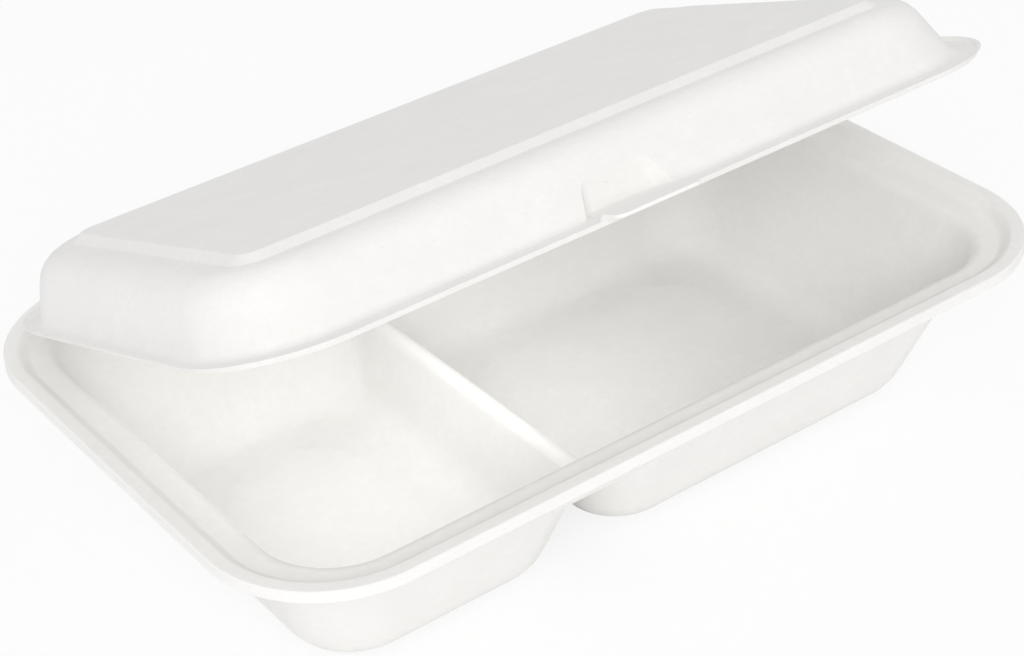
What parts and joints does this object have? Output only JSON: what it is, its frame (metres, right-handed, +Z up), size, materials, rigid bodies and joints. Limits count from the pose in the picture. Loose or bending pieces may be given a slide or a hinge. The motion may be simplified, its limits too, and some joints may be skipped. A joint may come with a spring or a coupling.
{
  "type": "bagasse meal box",
  "caption": "Moulded plant-fibre meal box: a deep tray with a small and a large compartment, and a shallow lid that folds on the back edge and nests in the tray rim.",
  "frame": {"origin": "on the surface that the box stands on, under the middle of the tray rim", "axes": "+X along the box towards the large compartment, -Y towards the front that opens, +Z up"},
  "size_m": [0.25, 0.1665, 0.1127],
  "materials": {
    "bagasse_pulp": "matt"
  },
  "bodies": {
    "base_tray": {"base_tray": "bagasse_pulp"},
    "lid": {"lid": "bagasse_pulp"}
  },
  "joints": [
    {"name": "lid_hinge", "type": "hinge", "parent": "base_tray", "child": "lid", "pos_m": [0, 0.084, 0.05013], "axis": [-1, 0, 0], "range_deg": [-20.5, 159.5]}
  ]
}
